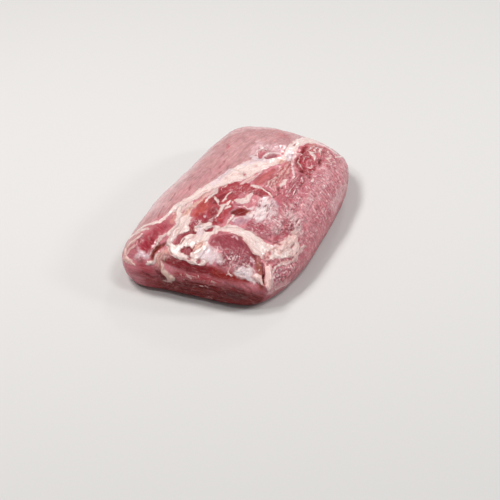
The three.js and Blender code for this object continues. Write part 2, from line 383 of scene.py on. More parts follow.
# Fat and sinew
# Hard cream fat fills the seams between muscles, and thin white sinew and skins cover some of them.
CREAM = "#ecd6d0"
PINK_FAT = "#e0b5b2"
PEACH_FAT = "#dca798"
# fat under a thin wet skin, its lilac tint a painted sheen
LILAC_SHEEN_FAT = "#e3cdd1"
FAT = [
    # colour, side, strokes: the long seam beside the pale muscle
    (CREAM, "top", [
        [
            (-82, 68, 1.4), (-79.5, 66, 2), (-76, 62, 1.7), (-73.5, 57, 1.8), (-72.5, 51, 2.6),
            (-73, 48.5, 1.8), (-68, 46.8, 1.7), (-62, 45, 1.7),
        ],
    ]),
    (CREAM, "top", [
        [(-62, 45, 1.7), (-52, 41, 3), (-42, 36, 3.5), (-33, 31, 4), (-16, 22, 5), (-4, 14, 7), (8, 7, 10)],
    ]),
    (CREAM, "top", [
        [(8, 7, 10), (18, 3, 10.5), (27, -4, 8.5), (36, -13, 5), (45, -18, 3.5), (52, -21, 3)],
    ]),
    (CREAM, "top", [
        [(50, -19.5, 3.5), (60, -19, 4.5), (72, -18, 5), (84, -19.5, 5), (98, -22, 6), (113, -24, 7)],
    ]),
    (LILAC_SHEEN_FAT, "top", [
        [(-16, 23, 2), (-2, 20, 2), (8, 17, 2)],
        [(30, 4, 3), (34, -6, 3)],
        [(46, -22, 3), (60, -20, 2)],
    ]),
    (LILAC_SHEEN_FAT, "top", [[(98, -20, 4), (106, -28, 5)], [(20, 10, 3), (27, 3, 3)]]),
    (PINK_FAT, "top", [
        [(-64, 37, 1), (-52, 35, 2), (-44, 31, 2)],
        [(-34, 24, 2), (-22, 18, 2)],
        [(-6, 0, 2), (6, -5, 2)],
    ]),
    (PEACH_FAT, "top", [
        [(-60, 32, 2), (-50, 29, 2.4), (-40, 26, 1.8), (-31, 24, 1)],
        [(38, -18, 2.2), (43, -18, 2)],
    ]),
    (CREAM, "top", [[(-40, 20, 1), (-30, 18.5, 1.2), (-20, 17, 1.4)], [(-20, 13, 0.6), (-12, 12, 0.8)]]),
    # tendon below the corner muscle
    (CREAM, "top", [[(-104, 41, 0.5), (-98, 40.3, 0.8), (-93, 39.8, 1), (-87, 38.6, 1.1), (-83, 35.6, 1)]]),
    (CREAM, "top", [
        [(-84, 34, 1.4), (-78, 32.3, 1.8), (-70, 32.2, 2), (-62, 34, 2.6), (-56, 37, 3), (-50, 39, 2)],
    ]),
    (CREAM, "top", [[(-110.5, 42, 0.9), (-109, 38, 1.4), (-105, 35.6, 1)]]),
    # the sheet behind the cut edge
    (CREAM, "top", [
        [(-91, 31, 2.6), (-84, 29, 3.2), (-74, 28, 4), (-64, 28, 4), (-54, 29, 3.4), (-46, 31, 2)],
    ]),
    (CREAM, "top", [
        [(-91, 30.5, 2.8), (-95, 25, 3.6), (-99, 18, 4), (-101, 10, 3.4), (-102, 2, 3), (-101.5, -7, 2.6)],
    ]),
    (CREAM, "top", [
        [(-98, 20, 3), (-91, 19.5, 4), (-83, 18.5, 4), (-79, 13, 5)],
        [(-78, 22, 5), (-70, 24, 3), (-62, 24.5, 2)],
    ]),
    (CREAM, "top", [
        [(-88, 12, 5), (-82, 9, 6), (-75, 9, 6), (-68, 8, 4), (-64, 5, 3)],
        [(-84, 3, 5), (-76, 2, 5), (-68, -1, 4)],
    ]),
    (CREAM, "top", [
        [(-97, 2, 5), (-92, -2, 5), (-86, -1, 3.4)],
        [(-71, 13, 2), (-66, -4, 3), (-70, -4, 3)],
    ]),
    (LILAC_SHEEN_FAT, "top", [
        [(-96, -4, 4), (-96, -10, 5), (-91, -7, 4)],
        [(-100, -13, 2)],
        [(-76, 8, 3), (-72, 10, 2)],
    ]),
    (PEACH_FAT, "top", [
        [(-92, 5, 2.2), (-87, 2.5, 2.8), (-90, 0, 2)],
        [(-98, 16, 1)],
        [(-58, 30, 2.4), (-50, 28, 2.4)],
    ]),
    (PINK_FAT, "top", [[(-85, 13, 2), (-80, 11, 1.6)], [(-100, 4, 1)], [(-66, 12, 1), (-62, 16, 1)]]),
    # the band round the round muscle and the fat below it
    (CREAM, "top", [
        [
            (-68, -6, 2.6), (-64, -12, 3.2), (-62.5, -20, 4.8), (-62.5, -29, 6), (-65, -37, 7.6),
            (-68, -43, 8.4), (-67, -50, 8),
        ],
    ]),
    (CREAM, "top", [[(-65, -54, 5), (-61, -60, 4.6), (-56, -64, 4)]]),
    ("#dd9f9b", "top", [[(-73, -50, 1.6), (-68, -51, 2)]]),
    ("#e0a49a", "top", [
        [(-64, -51.6, 0.4), (-58, -55.6, 0.6), (-51, -56.6, 0.5)],
        [(-57, -51.6, 0.5), (-50, -53.6, 0.5)],
    ]),
    ("#e0a49a", "top", [
        [(-63, -57, 0.5), (-56, -60.6, 0.6), (-47, -60, 0.5)],
        [(-50, -64, 0.6), (-43, -62, 0.6), (-38, -59, 0.5)],
    ]),
    ("#efcbc5", "top", [
        [(-58, -56, 4), (-50, -61, 5), (-42, -62, 4.4), (-36, -62, 3)],
        [(-56, -67, 3), (-46, -67, 3.4)],
        [(-36, -57, 1)],
    ]),
    (CREAM, "top", [
        [(-84, -60.5, 0.7), (-75, -60.5, 1.1), (-67, -65, 1.4), (-56, -70.5, 1.4), (-40, -71, 0.9)],
    ]),
    (CREAM, "top", [[(-66, -9, 1.4), (-56, -9, 1.4), (-46, -9.5, 1)], [(-60, -12, 2), (-58, -24, 1.4)]]),
    (LILAC_SHEEN_FAT, "top", [
        [(-53, -12, 0.9), (-49, -12, 1.2), (-46, -14.5, 0.9)],
        [(-45, -15, 0.8), (-43, -20, 1), (-44, -25, 1)],
    ]),
    # the strip beside the split
    ("#f8d0cb", "top", [[(-98, -61.6, 2.8), (-88, -58.8, 3.6), (-80, -55.2, 3.2), (-77, -52.6, 2.2)]]),
    # rims, curls and threads
    ("#e3bbb2", "top", [
        [
            (-112, 53, 1), (-110, 59, 1.7), (-106, 65, 2.2), (-99, 68, 2.2), (-94, 65.5, 2),
            (-91, 61.5, 1.6), (-86, 58.5, 1),
        ],
    ]),
    (PINK_FAT, "top", [[(-96, 54.6, 0.4), (-90, 55.6, 0.5)]]),
    (PINK_FAT, "top", [
        [(-103, -28.5, 0.6), (-95, -28.5, 0.5), (-86, -29, 0.4)],
        [(-102, -29, 0.7), (-102.6, -33, 0.8)],
    ]),
    ("#d9a294", "top", [
        [(-106, 31, 0.5), (-102.6, 28.8, 0.6), (-100, 31, 0.6), (-103, 34, 0.6), (-107, 34, 0.5)],
    ]),
    (LILAC_SHEEN_FAT, "top", [[(-98, -36, 1.6), (-95, -41, 3.6), (-97.4, -45, 2.2)]]),
    (CREAM, "top", [
        [(-95, -53.6, 0.4), (-93.6, -52, 0.7), (-91, -48.8, 0.8), (-88.6, -43, 0.7), (-90, -37, 0.5)],
    ]),
    (CREAM, "top", [
        [(-55, 2, 0.8), (-48, 1.6, 1.8), (-42, 2.4, 2), (-38, 0, 1.8), (-34, -1, 1.4)],
        [(-44, -1, 1), (-39, -3, 1)],
    ]),
    (CREAM, "top", [
        [(-35, 4.5, 0.9), (-28, 4.5, 0.8), (-20, 4.6, 0.7)],
        [(-44, 3, 0.6), (-38, 8, 0.8), (-33, 13, 1.3), (-30, 15, 0.8)],
    ]),
    (CREAM, "top", [
        [(-31, -4, 1.2), (-28, -9, 3), (-24, -13, 2.4), (-17, -14, 1.4)],
        [(-31, -13, 1), (-32, -18, 0.9)],
    ]),
    (CREAM, "top", [[(-5, -9, 1.3), (-6, -17, 1.3), (-9, -25, 0.9), (-13, -31, 0.7)]]),
    (PINK_FAT, "top", [
        [(-4, -4, 0.8), (4, -6.5, 0.9), (12, -8, 0.9), (19, -9, 0.7)],
        [(-17, -3, 0.5), (-19, -9, 0.5)],
    ]),
    (PINK_FAT, "top", [
        [(-3, -23, 0.7), (3, -21, 0.8), (10, -21.5, 1), (14, -24, 1.1), (13, -26, 0.8)],
        [(16, -21, 0.5), (30, -22, 0.5)],
    ]),
    ("#d8938d", "top", [
        [(-6, -30, 0.5), (-2, -26, 0.7), (4, -24, 0.7), (10, -24.5, 0.6)],
        [(-3, -31, 0.5), (1, -28, 0.6), (8, -26.8, 0.6)],
    ]),
    ("#d8938d", "top", [
        [(16, -26, 0.6), (30, -26.5, 0.8), (44, -25, 0.6)],
        [(14, -29.5, 0.6), (26, -31, 0.7), (36, -29, 0.6)],
    ]),
    (CREAM, "top", [
        [(5, -31.5, 1.4), (10, -33, 1.8), (15, -33.5, 1)],
        [(-8, -33, 1)],
        [(27, -52.5, 1.6), (31, -51.5, 0.8)],
    ]),
    (LILAC_SHEEN_FAT, "top", [
        [(20, -37.8, 0.9), (27, -36, 1), (36, -31, 1.1), (45, -27, 1.2), (54, -24.6, 1.4)],
    ]),
    (PINK_FAT, "top", [
        [(38, -41, 0.3), (41, -36, 0.8), (47, -31.6, 0.5), (56, -28.6, 0.3)],
        [(44, -42, 0.9), (48, -44, 0.7)],
    ]),
    (PINK_FAT, "top", [[(46, -38, 0.2), (49, -35.4, 0.7), (55, -33.4, 0.3)]]),
    (CREAM, "top", [
        [(58, -43.4, 1.2), (62, -41.4, 1.7), (63.4, -38, 2.5), (67, -36.4, 2.1), (69.4, -38, 1.2)],
        [(57, -25, 1.4), (58, -31, 0.9)],
    ]),
    (CREAM, "top", [
        [(70, -39.6, 0.8), (76, -36.4, 1.1), (82, -35.4, 1), (86, -37.5, 0.8)],
        [(70, -44, 0.8), (76, -41, 1), (82, -39.4, 1.2), (88, -39.4, 0.9)],
    ]),
    ("#eac4ba", "top", [
        [(68, -53, 0.9), (72, -50.6, 1.5), (77, -51, 1.2), (83, -48.6, 0.8)],
        [(60, -53, 0.7), (66, -56, 0.7), (76, -55.6, 0.8)],
    ]),
    (PINK_FAT, "top", [
        [(64, -33, 0.5), (72, -32, 0.7), (84, -33, 0.6)],
        [(84, -46.6, 0.7), (90, -44, 0.8)],
        [(48, -49, 0.6), (52, -52, 0.6)],
    ]),
    (LILAC_SHEEN_FAT, "top", [[(96, -27, 2.6), (99, -34, 2.6), (97, -43, 2.2), (94, -50, 1.6)]]),
    # the skin round the two windows in the seam
    (LILAC_SHEEN_FAT, "top", [
        [(33, 5, 2.4), (34, -2, 1.8), (39, -2.8, 1.2), (45, -4, 1.2), (48, -8, 1.3), (49.5, -13, 1.8)],
    ]),
    (LILAC_SHEEN_FAT, "top", [
        [(32, 8, 1.4), (38, 7, 0.8), (45, 6.4, 0.9), (51, 3, 1)],
        [(50, 1, 1.2), (52, 7, 1.4)],
        [(60.5, 15.5, 0.9)],
    ]),
    # the cut face: the edge of the fat sheet, a sinew flap, a curl and specks. The pale pink specks across
    # its middle are painted glints.
    (CREAM, "cut face", [[(31, 37.5, 1.4), (20, 36.3, 1.8), (10, 36.3, 2), (0, 35.6, 1.8), (-8, 36, 1.6)]]),
    ("#dabbad", "cut face", [
        [(29, 29, 1.1), (26, 25.8, 1.8), (22, 22.6, 3), (19, 19.8, 3.4)],
        [(20, 22.6, 2.2), (16.4, 21, 2)],
    ]),
    (PINK_FAT, "cut face", [[(25.5, 16, 0.7), (22, 15, 0.9), (18.6, 16, 0.7)], [(17, 13, 0.5)]]),
    (CREAM, "cut face", [
        [(42, 27, 0.8), (40.5, 26, 1.7), (38, 27.6, 1.8), (36, 30.6, 1.3), (35, 33, 0.8)],
    ]),
    ("#cf9a8c", "cut face", [
        [(34.4, 33, 0.8), (33, 29, 0.9), (29, 26, 1)],
        [(29, 34, 0.8), (27, 31, 0.6)],
    ]),
    # pale specks on the wet ridges of the cut face, raised a little and coloured as painted glints
    ("#d9a7a4", "cut face", [
        [(4, 26.4, 0.7), (1, 25, 1)],
        [(-4, 26.4, 0.7)],
        [(-8, 18.5, 0.5), (-14, 19.6, 0.6)],
        [(-14, 8, 0.8), (-17, 7, 0.6)],
    ]),
    # more painted glints on the cut face
    ("#d9a7a4", "cut face", [
        [(10, 25.4, 0.6)],
        [(7, 22.4, 0.7)],
        [(-18, 25.4, 0.6), (-21, 24.6, 0.6)],
        [(-11, 23.6, 0.5)],
    ]),
    ("#fbdad6", "cut face", [[(-63, 18, 1), (-61.4, 23, 1.4)]]),
    ("#d9a09c", "cut face", [[(66, 22, 1), (64, 27, 1.4), (60, 31, 1.2)], [(30, 33, 1.6), (34, 34, 1)]]),
    # the far side
    (CREAM, "far side", [
        [(-80, 38, 2), (-83, 30, 2), (-88, 20, 2.4), (-92, 8, 3)],
        [(-60, 9, 1.4), (-20, 6, 2), (30, 8, 1.8), (72, 13, 1.2)],
    ]),
    (PINK_FAT, "far side", [
        [(-66, 26, 0.7), (-40, 22, 0.9), (-22, 24, 0.6)],
        [(10, 26, 0.6), (40, 23, 0.8)],
        [(66, 20, 0.7), (92, 26, 1)],
    ]),
    # the rounded end
    (CREAM, "rounded end", [
        [(-24, 35, 6), (-27, 25, 5), (-32, 14, 4), (-35, 4, 4)],
        [(-54, 30, 1), (-55, 20, 1.4), (-52, 8, 1.8)],
    ]),
    (PINK_FAT, "rounded end", [
        [(12, 30, 0.7), (6, 20, 1), (0, 9, 1.4)],
        [(40, 26, 0.6), (31, 15, 0.9), (30, 6, 1)],
    ]),
    # the near side
    (PINK_FAT, "near side", [
        [(-70, 26, 1), (-56, 24, 1.2), (-40, 25, 0.8)],
        [(-88, 12, 0.6), (-70, 9, 0.8)],
        [(60, 12, 0.7), (84, 16, 0.8)],
    ]),
    # the underside
    (CREAM, "underside", [
        [(-100, 34, 2), (-60, 26, 3), (-20, 19, 2.4), (20, 12, 3.6), (60, 0, 3), (100, -10, 4)],
    ]),
    (CREAM, "underside", [
        [(-94, -20, 1.4), (-60, -27, 2), (-20, -28, 2.6), (20, -33, 2), (60, -36, 2.6), (92, -40, 2)],
    ]),
    (PINK_FAT, "underside", [
        [(-70, 12, 0.8), (-40, 4, 1.2), (-10, 6, 0.7)],
        [(-60, -50, 1), (-30, -58, 1.4), (0, -52, 0.8)],
        [(30, -56, 1), (60, -50, 1.4)],
    ]),
    (PINK_FAT, "underside", [
        [(-60, 44, 0.7), (-20, 40, 0.9)],
        [(10, 50, 0.7), (60, 34, 1)],
        [(10, -12, 0.8), (30, -20, 1)],
    ]),
]
# Small gaps in the fat, where the dark lean shows.
WINDOWS = [
    [(-95, 15, 2.4), (-94.6, 12, 3.6), (-94.6, 9.6, 2.8)],
    [
        (-88.5, 22.5, 1.6), (-85, 24, 2.4), (-82, 22.5, 2.2), (-79, 19.5, 1.8), (-76.5, 16, 1.7),
        (-76, 13, 1.2),
    ],
    [(-90, 19, 0.5), (-85, 18.4, 0.7)],
    [(-72, 4.5, 1), (-70, 2, 1.6), (-67.5, 0.6, 1.2)],
    [(-70, 19, 1.8), (-64, 19, 2.6), (-58, 17, 3), (-60, 11, 2.4)],
    [(-101, 6.5, 1.4)],
    [(-101.5, -2.6, 1.7)],
    [(-77, -53.4, 1.3), (-73.6, -55.4, 1.6)],
    [(-73.4, -49.6, 0.5), (-71.6, -48.6, 0.5)],
    [(-71.4, -51.6, 0.6), (-69.6, -51, 0.4)],
    [(-69, -49, 0.5)],
    [(-67.6, -52.6, 0.5), (-66.2, -51, 0.5)],
    [(-57, -53, 0.6), (-54, -55, 0.9)],
    [(-51, -63.6, 0.8), (-47, -64, 0.6)],
    [(-42, -58, 0.7), (-39, -60, 0.8)],
    [(-60, -66, 0.6), (-57, -68, 0.6)],
    [(-94, -57.6, 0.3), (-90, -54.8, 0.4), (-80, -50.6, 0.3)],
    [(7, 3, 0.9)],
    [(72, -17, 0.8), (75, -18, 0.6)],
    [(36, 0.5, 1.8), (41, 1.8, 2.6), (48, 1.4, 1.4)],
    [(37.5, -5.2, 1.4), (41, -7, 2.1), (44, -10, 1.4)],
]
BLOOD_RED = "#8c2e3a"
STRAND_SHIFT = 31
fat = np.full(len(places), -float(MARGIN))
fat_colour = np.tile(rgb(CREAM), (len(places), 1))
strand = np.zeros((len(places), 2))
for number, (colour, view, strokes) in enumerate(FAT):
    inside, along = reach(strokes, view)
    fat_colour = paint(fat_colour, colour, ease(-2, 2, inside))
    strand = np.where((inside > fat)[:, None], along + number * STRAND_SHIFT, strand)
    fat = np.maximum(fat, inside)
window = reach(WINDOWS)[0]
fat = np.minimum(fat, -window)
muscle_colour = paint(muscle_colour, BLOOD_RED, 0.6 * ease(0.2, 1.6, window))

# Thin milky skins lie over some of the lean. The lilac-white ones near the cut edge are lighter still as
# painted sheen.
SKINS = [
    # colour, cover, side, strokes
    ("#f4e2e2", 0.9, "top", [
        [(-43, -22, 3), (-34, -27, 5), (-27, -32, 5), (-19, -27, 4)],
        [(-32, -20, 2)],
        [(-42, -31, 3), (-33, -33, 3)],
    ]),
    ("#e9cdd0", 0.7, "top", [[(-38, -39, 2), (-29, -39, 3)], [(-22, -38, 2), (-17, -34, 2)]]),
    # a milky skin on the corner, lightened as a painted sheen
    ("#d9bcc0", 0.8, "top", [[(-106, 54, 2), (-105, 49, 2.6), (-105, 44, 2)]]),
    ("#d3a9ad", 0.8, "top", [
        [(36, 10, 2), (46, 11, 3), (56, 9, 5), (62, 13, 2)],
        [(56, 1, 4), (55, -7, 4), (60, -5, 4)],
    ]),
    # a milky white skin by the cut edge, lightened as a painted sheen
    ("#f3e0e1", 0.9, "top", [[(-97, -37, 3.6), (-94.5, -42, 5), (-96.5, -47, 3)]]),
    ("#a0574c", 0.75, "top", [[(-92, -53, 0.6), (-87.6, -50.4, 1.6), (-82, -47.4, 2), (-77, -45, 1.6)]]),
    # a lilac-white skin by the cut edge, lightened as a painted sheen
    ("#e6cfd0", 0.8, "top", [[(-92, -13, 3), (-97, -20, 2)]]),
    ("#d89a90", 0.85, "top", [[(-108, 33, 2.4), (-103, 31.5, 4), (-99, 28, 3)]]),
    ("#a3606e", 0.6, "top", [[(-86, -64, 3), (-76, -65, 3)]]),
    ("#dcb5b6", 0.75, "top", [[(94, -28, 4), (100, -38, 5), (96, -50, 5)]]),
    ("#ddb9b8", 0.75, "top", [[(-32, -64, 4), (-24, -56, 4), (-20, -50, 2)]]),
    ("#ddb9b8", 0.4, "top", [[(-46, -48, 4), (-34, -45, 3), (-22, -48, 2)]]),
    ("#dfc0c6", 0.75, "cut face", [[(44, 30.5, 1.6), (50, 31, 2), (56, 31, 1.2)]]),
    ("#d9b0b4", 0.5, "near side", [
        [(-92, 14, 4), (-76, 12, 4)],
        [(20, 24, 5), (60, 22, 5)],
        [(90, 20, 6)],
    ]),
    ("#d7b6bc", 0.5, "far side", [[(-50, 34, 4), (-20, 32, 5)], [(30, 30, 4), (70, 28, 5)]]),
    ("#dcbcc2", 0.6, "rounded end", [[(20, 30, 5), (34, 26, 4)], [(-56, 22, 3)]]),
    ("#d7b0b4", 0.5, "underside", [
        [(-70, -40, 6), (-40, -46, 5)],
        [(30, 30, 8), (60, 26, 6)],
        [(50, -54, 5)],
    ]),
]
SKIN_PATCH, SKIN_EDGE = 3.5, 2.5
patchy = mottle(SKIN_PATCH, 3, 90)
for colour, cover, view, strokes in SKINS:
    inside = reach(strokes, view)[0] + SKIN_EDGE * patchy
    muscle_colour = paint(muscle_colour, colour, cover * ease(-SKIN_EDGE, SKIN_EDGE, inside))
# The lean in the two windows in the seam is pink.
for colour, chain in (
    ("#b15c67", [(35, 0.5, 2), (41, 1.8, 3), (48, 1.4, 2)]),
    ("#96545f", [(38, -5.6, 1.5), (44, -10, 1.5)]),
):
    muscle_colour = paint(muscle_colour, colour, 0.9 * ease(-1, 1, reach([chain])[0]))

# How much each part is marbled: wrinkled, with fine pale threads between dark gaps. The pale threads are
# partly painted glints on the wrinkles' crests, and the dark gaps partly painted shade between them.
MARBLED = [
    # amount, side, strokes
    (0.8, "top", [[(-44, -34, 5), (-40, -46, 8), (-26, -36, 5)], [(-66, 15, 4)]]),
    (0.7, "top", [[(-94, -24, 5), (-88, -28, 4), (-93, -34, 5)]]),
    (0.45, "top", [[(-95, -41, 4), (-86, -37, 3)]]),
    (0.6, "top", [[(-51, -28, 3), (-51, -42, 4)]]),
    (0.9, "top", [
        [(-30, -58, 8), (-18, -50, 4)],
        [(-40, -25, 4), (-24, -30, 6)],
        [(-107, 50, 1)],
        [(-78, -66, 5), (-60, -70, 4)],
    ]),
    (0.8, "top", [[(-14, -50, 8), (10, -42, 5), (24, -42, 5)], [(-103, 29, 1)]]),
    (0.6, "top", [[(-14, -62, 8), (30, -60, 9), (70, -60, 6), (92, -50, 5)]]),
    (0.3, "top", [[(34, -46, 5), (60, -48, 6), (80, -46, 6)], [(60, -36, 5), (84, -36, 5)]]),
    (0.5, "near side", [[(-85, 19, 5), (-70, 26, 7), (-40, 30, 9), (30, 30, 9), (90, 26, 9)]]),
    (0.3, "near side", [[(-90, 14, 6), (30, 14, 9), (90, 14, 9)]]),
    (0.35, "cut face", [[(14, 25, 1), (-22, 25, 1)], [(26, 16, 1), (18, 15, 1)]]),
    (0.4, "top", [[(-18, 2, 6), (-12, -14, 5)], [(2, -24, 4), (40, -28, 6)], [(52, 4, 6)]]),
    (0.2, "top", [[(-54, 2, 5), (-40, 8, 5)]]),
    (0.4, "underside", [[(-70, 0, 20), (60, -10, 20)], [(-60, -50, 14), (60, -50, 14)]]),
    (0.4, "rounded end", [[(-46, 20, 10)], [(-60, 16, 8)]]),
]
LEAST_MARBLING = 0.05
marbling = np.full(len(places), LEAST_MARBLING)
for most, view, strokes in MARBLED:
    marbling = np.maximum(marbling, most * ease(-5, 3, reach(strokes, view)[0]))

# Relief
# Fat stands a little proud of the lean, fibres and wrinkles lift the skin, and folds part the muscles.
FOLDS = [
    # rise, softness of the edge, side, strokes: swells and rims
    (1.1, 2, "top", [
        [(-110, 59, 0.8), (-106, 65, 1), (-99, 68, 1), (-94, 65, 1), (-90, 61, 0.8), (-86, 58.5, 0.4)],
    ]),
    (-1.2, 6, "top", [[(-98, 49, 3), (-90, 47, 3)]]),
    (1.3, 3, "top", [[(-105, 31, 2), (-101, 29, 2)]]),
    (1.6, 1.2, "top", [[(-97, -60.6, 1.6), (-88, -58, 2.6), (-79, -54.4, 2.2)]]),
    (0.9, 2, "top", [
        [(-52, -6, 1), (-36, -5, 1)],
        [(-92, 30, 1), (-76, 28, 1.5), (-60, 30, 1)],
        [(-101, 18, 1), (-103, 0, 1)],
    ]),
    (0.9, 1.5, "top", [
        [(40, -38, 0.6), (43, -34, 0.8), (50, -30.6, 1), (57, -29, 0.6)],
        [(43, -41, 0.4), (47, -36.6, 0.6), (56, -33, 0.6)],
    ]),
    (0.9, 1.5, "top", [
        [(60, -33, 0.6), (72, -31.6, 1), (86, -32, 0.8)],
        [(72, -38, 0.6), (84, -36.6, 0.6)],
        [(72, -43, 0.6), (86, -40.4, 0.8)],
    ]),
    (0.8, 1.5, "top", [
        [(-6, -30, 0.4), (-2, -26, 0.5), (4, -23.6, 0.6), (12, -23, 0.5)],
        [(14, -25, 0.5), (44, -24, 0.5)],
        [(14, -30.6, 0.4), (34, -29.6, 0.6)],
    ]),
    (1.2, 1, "cut face", [
        [(28, 28, 0.5), (24, 23.6, 1.4), (19, 19.6, 2.6)],
        [(39, 26, 0.8), (36, 29.6, 0.8)],
    ]),
    # windows, grooves and splits
    (-0.7, 1.2, "top", WINDOWS),
    (-1.9, 1.2, "top", [
        [(34, -38, 1), (36, -41, 1)],
        [(33, -46, 1), (30, -49, 0.6)],
        [(-2, -33, 0.8), (2, -31, 0.6), (4, -34, 0.8)],
    ]),
    (-1.4, 1, "top", [
        [(-13, -32, 0.3), (-5, -35, 0.6)],
        [(20, -35, 0.7)],
        [(15, -47, 0.5), (26, -46, 0.6)],
    ]),
    (-1.5, 1, "top", [
        [(56, -49, 0.8), (62, -47, 0.5)],
        [(51, -56, 0.9)],
        [(59, -31, 0.5), (66, -28.5, 0.6), (78, -26.5, 0.3)],
    ]),
    (-2.0, 0.8, "top", [[(-94, -57.6, 0.6), (-90, -54.8, 0.7), (-86.6, -53, 0.5)]]),
    (-1.0, 0.8, "top", [[(-86.6, -53, 0.5), (-79, -50, 0.3)]]),
    (-1.9, 1.2, "top", [[(-107, 38.7, 0.6), (-98, 38.5, 1), (-94, 36.5, 1), (-91, 33, 0.6)]]),
    (-0.7, 0.7, "top", [[(-105, 32, 0.2), (-102.4, 30.4, 0.3), (-101.4, 32, 0.2)]]),
    (-1.0, 1, "top", [
        [(-93, 31, 0.4), (-97, 26, 0.5), (-100, 22, 0.3)],
        [(-97, 56.6, 0.3), (-92, 57.6, 0.5), (-88, 57.4, 0.3)],
    ]),
    (-0.7, 0.8, "top", [
        [(-87, 31.4, 0.2), (-78, 30.2, 0.3), (-66, 30.4, 0.2)],
        [(-84, 27.6, 0.1), (-70, 26.4, 0.2)],
        [(-85.5, 60.5, 0.3), (-82, 63, 0.5)],
    ]),
    (-0.8, 1, "top", [
        [(-38, 16.5, 0.4), (-28, 15.5, 0.5), (-19, 15, 0.4)],
        [(0, -8.6, 0.3), (10, -9.8, 0.4), (18, -10, 0.3)],
    ]),
    (-0.8, 1, "top", [
        [(-91, -11, 0.4), (-85, -5.5, 0.4), (-77, -4.5, 0.4), (-71, -8.5, 0.4), (-68, -16, 0.4)],
    ]),
    (-1.2, 1.2, "top", [
        [(-67.5, -22, 0.4), (-69, -29, 0.5), (-73, -36, 0.6), (-79, -44, 0.5)],
        [(-57, -25, 0.2), (-58, -36, 0.3), (-57, -50, 0.2)],
    ]),
    (-0.9, 1, "top", [[(-78, -59, 0.3), (-70, -60, 0.4), (-66, -64, 0.3)]]),
    (-0.6, 0.8, "top", [
        [(-64, -51.6, 0.2), (-58, -55.6, 0.3)],
        [(-63, -57, 0.2), (-56, -60.6, 0.3), (-49, -60, 0.2)],
    ]),
    (-0.7, 1, "top", [
        [(-56, -50, 0.3), (-44, -50.5, 0.4), (-33, -51, 0.3)],
        [(-60, -2, 0.3), (-61, 8, 0.3)],
        [(-34, -6, 0.3), (-31, -12, 0.5)],
    ]),
    (-0.7, 0.8, "top", [
        [(3, 34, 0.2), (5, 37, 0.3)],
        [(5, 40, 0.3), (9, 39, 0.3)],
        [(8, 28, 0.3), (28, 28, 0.3)],
        [(9, 22, 0.3), (16, 22, 0.3)],
    ]),
    (-0.9, 0.8, "top", [
        [(-66, 52, 0.3), (-60, 55, 0.4), (-52, 54, 0.3)],
        [(-56, 47, 0.3), (-48, 46, 0.3)],
        [(-10, 27, 0.3), (4, 25, 0.3)],
    ]),
    (-0.9, 0.8, "top", [
        [(-44, 52, 0.2), (-34, 52, 0.3)],
        [(-30, 41, 0.2), (-20, 42, 0.3)],
        [(-14, 50, 0.2), (-6, 48, 0.3)],
        [(22, 36, 0.2), (32, 33, 0.3)],
    ]),
    (-1.1, 1.2, "cut face", [
        [(14, 17.6, 0.4), (6, 16.6, 0.5), (-5, 16.5, 0.5), (-20, 18, 0.5), (-33, 16, 0.4)],
    ]),
    (-1.0, 1.2, "cut face", [
        [(14, 12, 0.4), (0, 10, 0.6), (-20, 11, 0.6), (-36, 9, 0.4)],
        [(5, 21, 0.3), (-10, 20.5, 0.4), (-24, 22, 0.3)],
    ]),
    (-0.7, 1.2, "cut face", [
        [(-30, 26, 0.3), (-38, 22, 0.5), (-43, 15, 0.6), (-42, 7, 0.4)],
        [(-34, 25, 0.3), (-44, 20, 0.5), (-49, 13, 0.6), (-48, 5, 0.4)],
    ]),
    (-0.7, 1.2, "cut face", [
        [(-42, 25, 0.3), (-50, 20, 0.5), (-54, 12, 0.5)],
        [(22, 13, 0.3), (18, 6, 0.5), (19, 2, 0.3)],
        [(30, 16, 0.3), (27, 8, 0.5)],
    ]),
    (-1.0, 1, "cut face", [
        [(30, 27.5, 0.4), (27, 21, 0.5), (22, 14.5, 0.4)],
        [(45, 21, 0.3), (36, 17, 0.4), (31, 20, 0.3)],
        [(39, 37, 0.6), (37.5, 33, 0.8), (38, 29, 0.6)],
    ]),
    (-0.5, 1.2, "near side", [
        [(-90, 18, 0.3), (-70, 16, 0.4), (-48, 19, 0.3)],
        [(-30, 12, 0.3), (10, 9, 0.4), (44, 12, 0.3)],
        [(50, 22, 0.3), (76, 18, 0.4)],
    ]),
    (-0.6, 1.2, "far side", [
        [(-74, 20, 0.3), (-40, 15, 0.5), (-10, 17, 0.3)],
        [(20, 18, 0.3), (60, 16, 0.4)],
    ]),
    (-0.8, 1.2, "rounded end", [
        [(-40, 34, 0.4), (-41, 20, 0.5), (-44, 6, 0.4)],
        [(-17, 30, 0.3), (-20, 16, 0.5), (-26, 5, 0.3)],
    ]),
]
# Bundles of fibres and the wrinkles of marbled lean, as length and width, and how high each form rises.
BUNDLE, BUNDLE_RISE = (9, 1.7, 1.7), 0.08
WRINKLE, WRINKLE_RISE = (6, 3.2, 3.2), 0.8
FAT_RISE, FAT_LUMP, FAT_LUMP_RISE = 0.3, 3.5, 0.2
WIDE_DENT, WIDE_RISE = 16, 0.6
SMALL_DENT, SMALL_RISE, MARBLED_RISE = 5, 0.1, 0.5
SMOOTHED_BY_FAT = 0.7
bundles = mottle(np.array(BUNDLE), 2, at=grain)
wrinkles = mottle(np.array(WRINKLE), 1, at=places + waver)
lift = FAT_RISE * ease(-1.5, 1.5, fat) + FAT_LUMP_RISE * ease(0, 3, fat) * mottle(FAT_LUMP, 1, 5)
lift += WIDE_RISE * mottle(WIDE_DENT, 2, 70)
lift += (SMALL_RISE + MARBLED_RISE * marbling) * mottle(SMALL_DENT, 1, 80)
fine = BUNDLE_RISE * bundles + WRINKLE_RISE * marbling * wrinkles
lift += fine * (1 - SMOOTHED_BY_FAT * ease(-1, 1, fat))
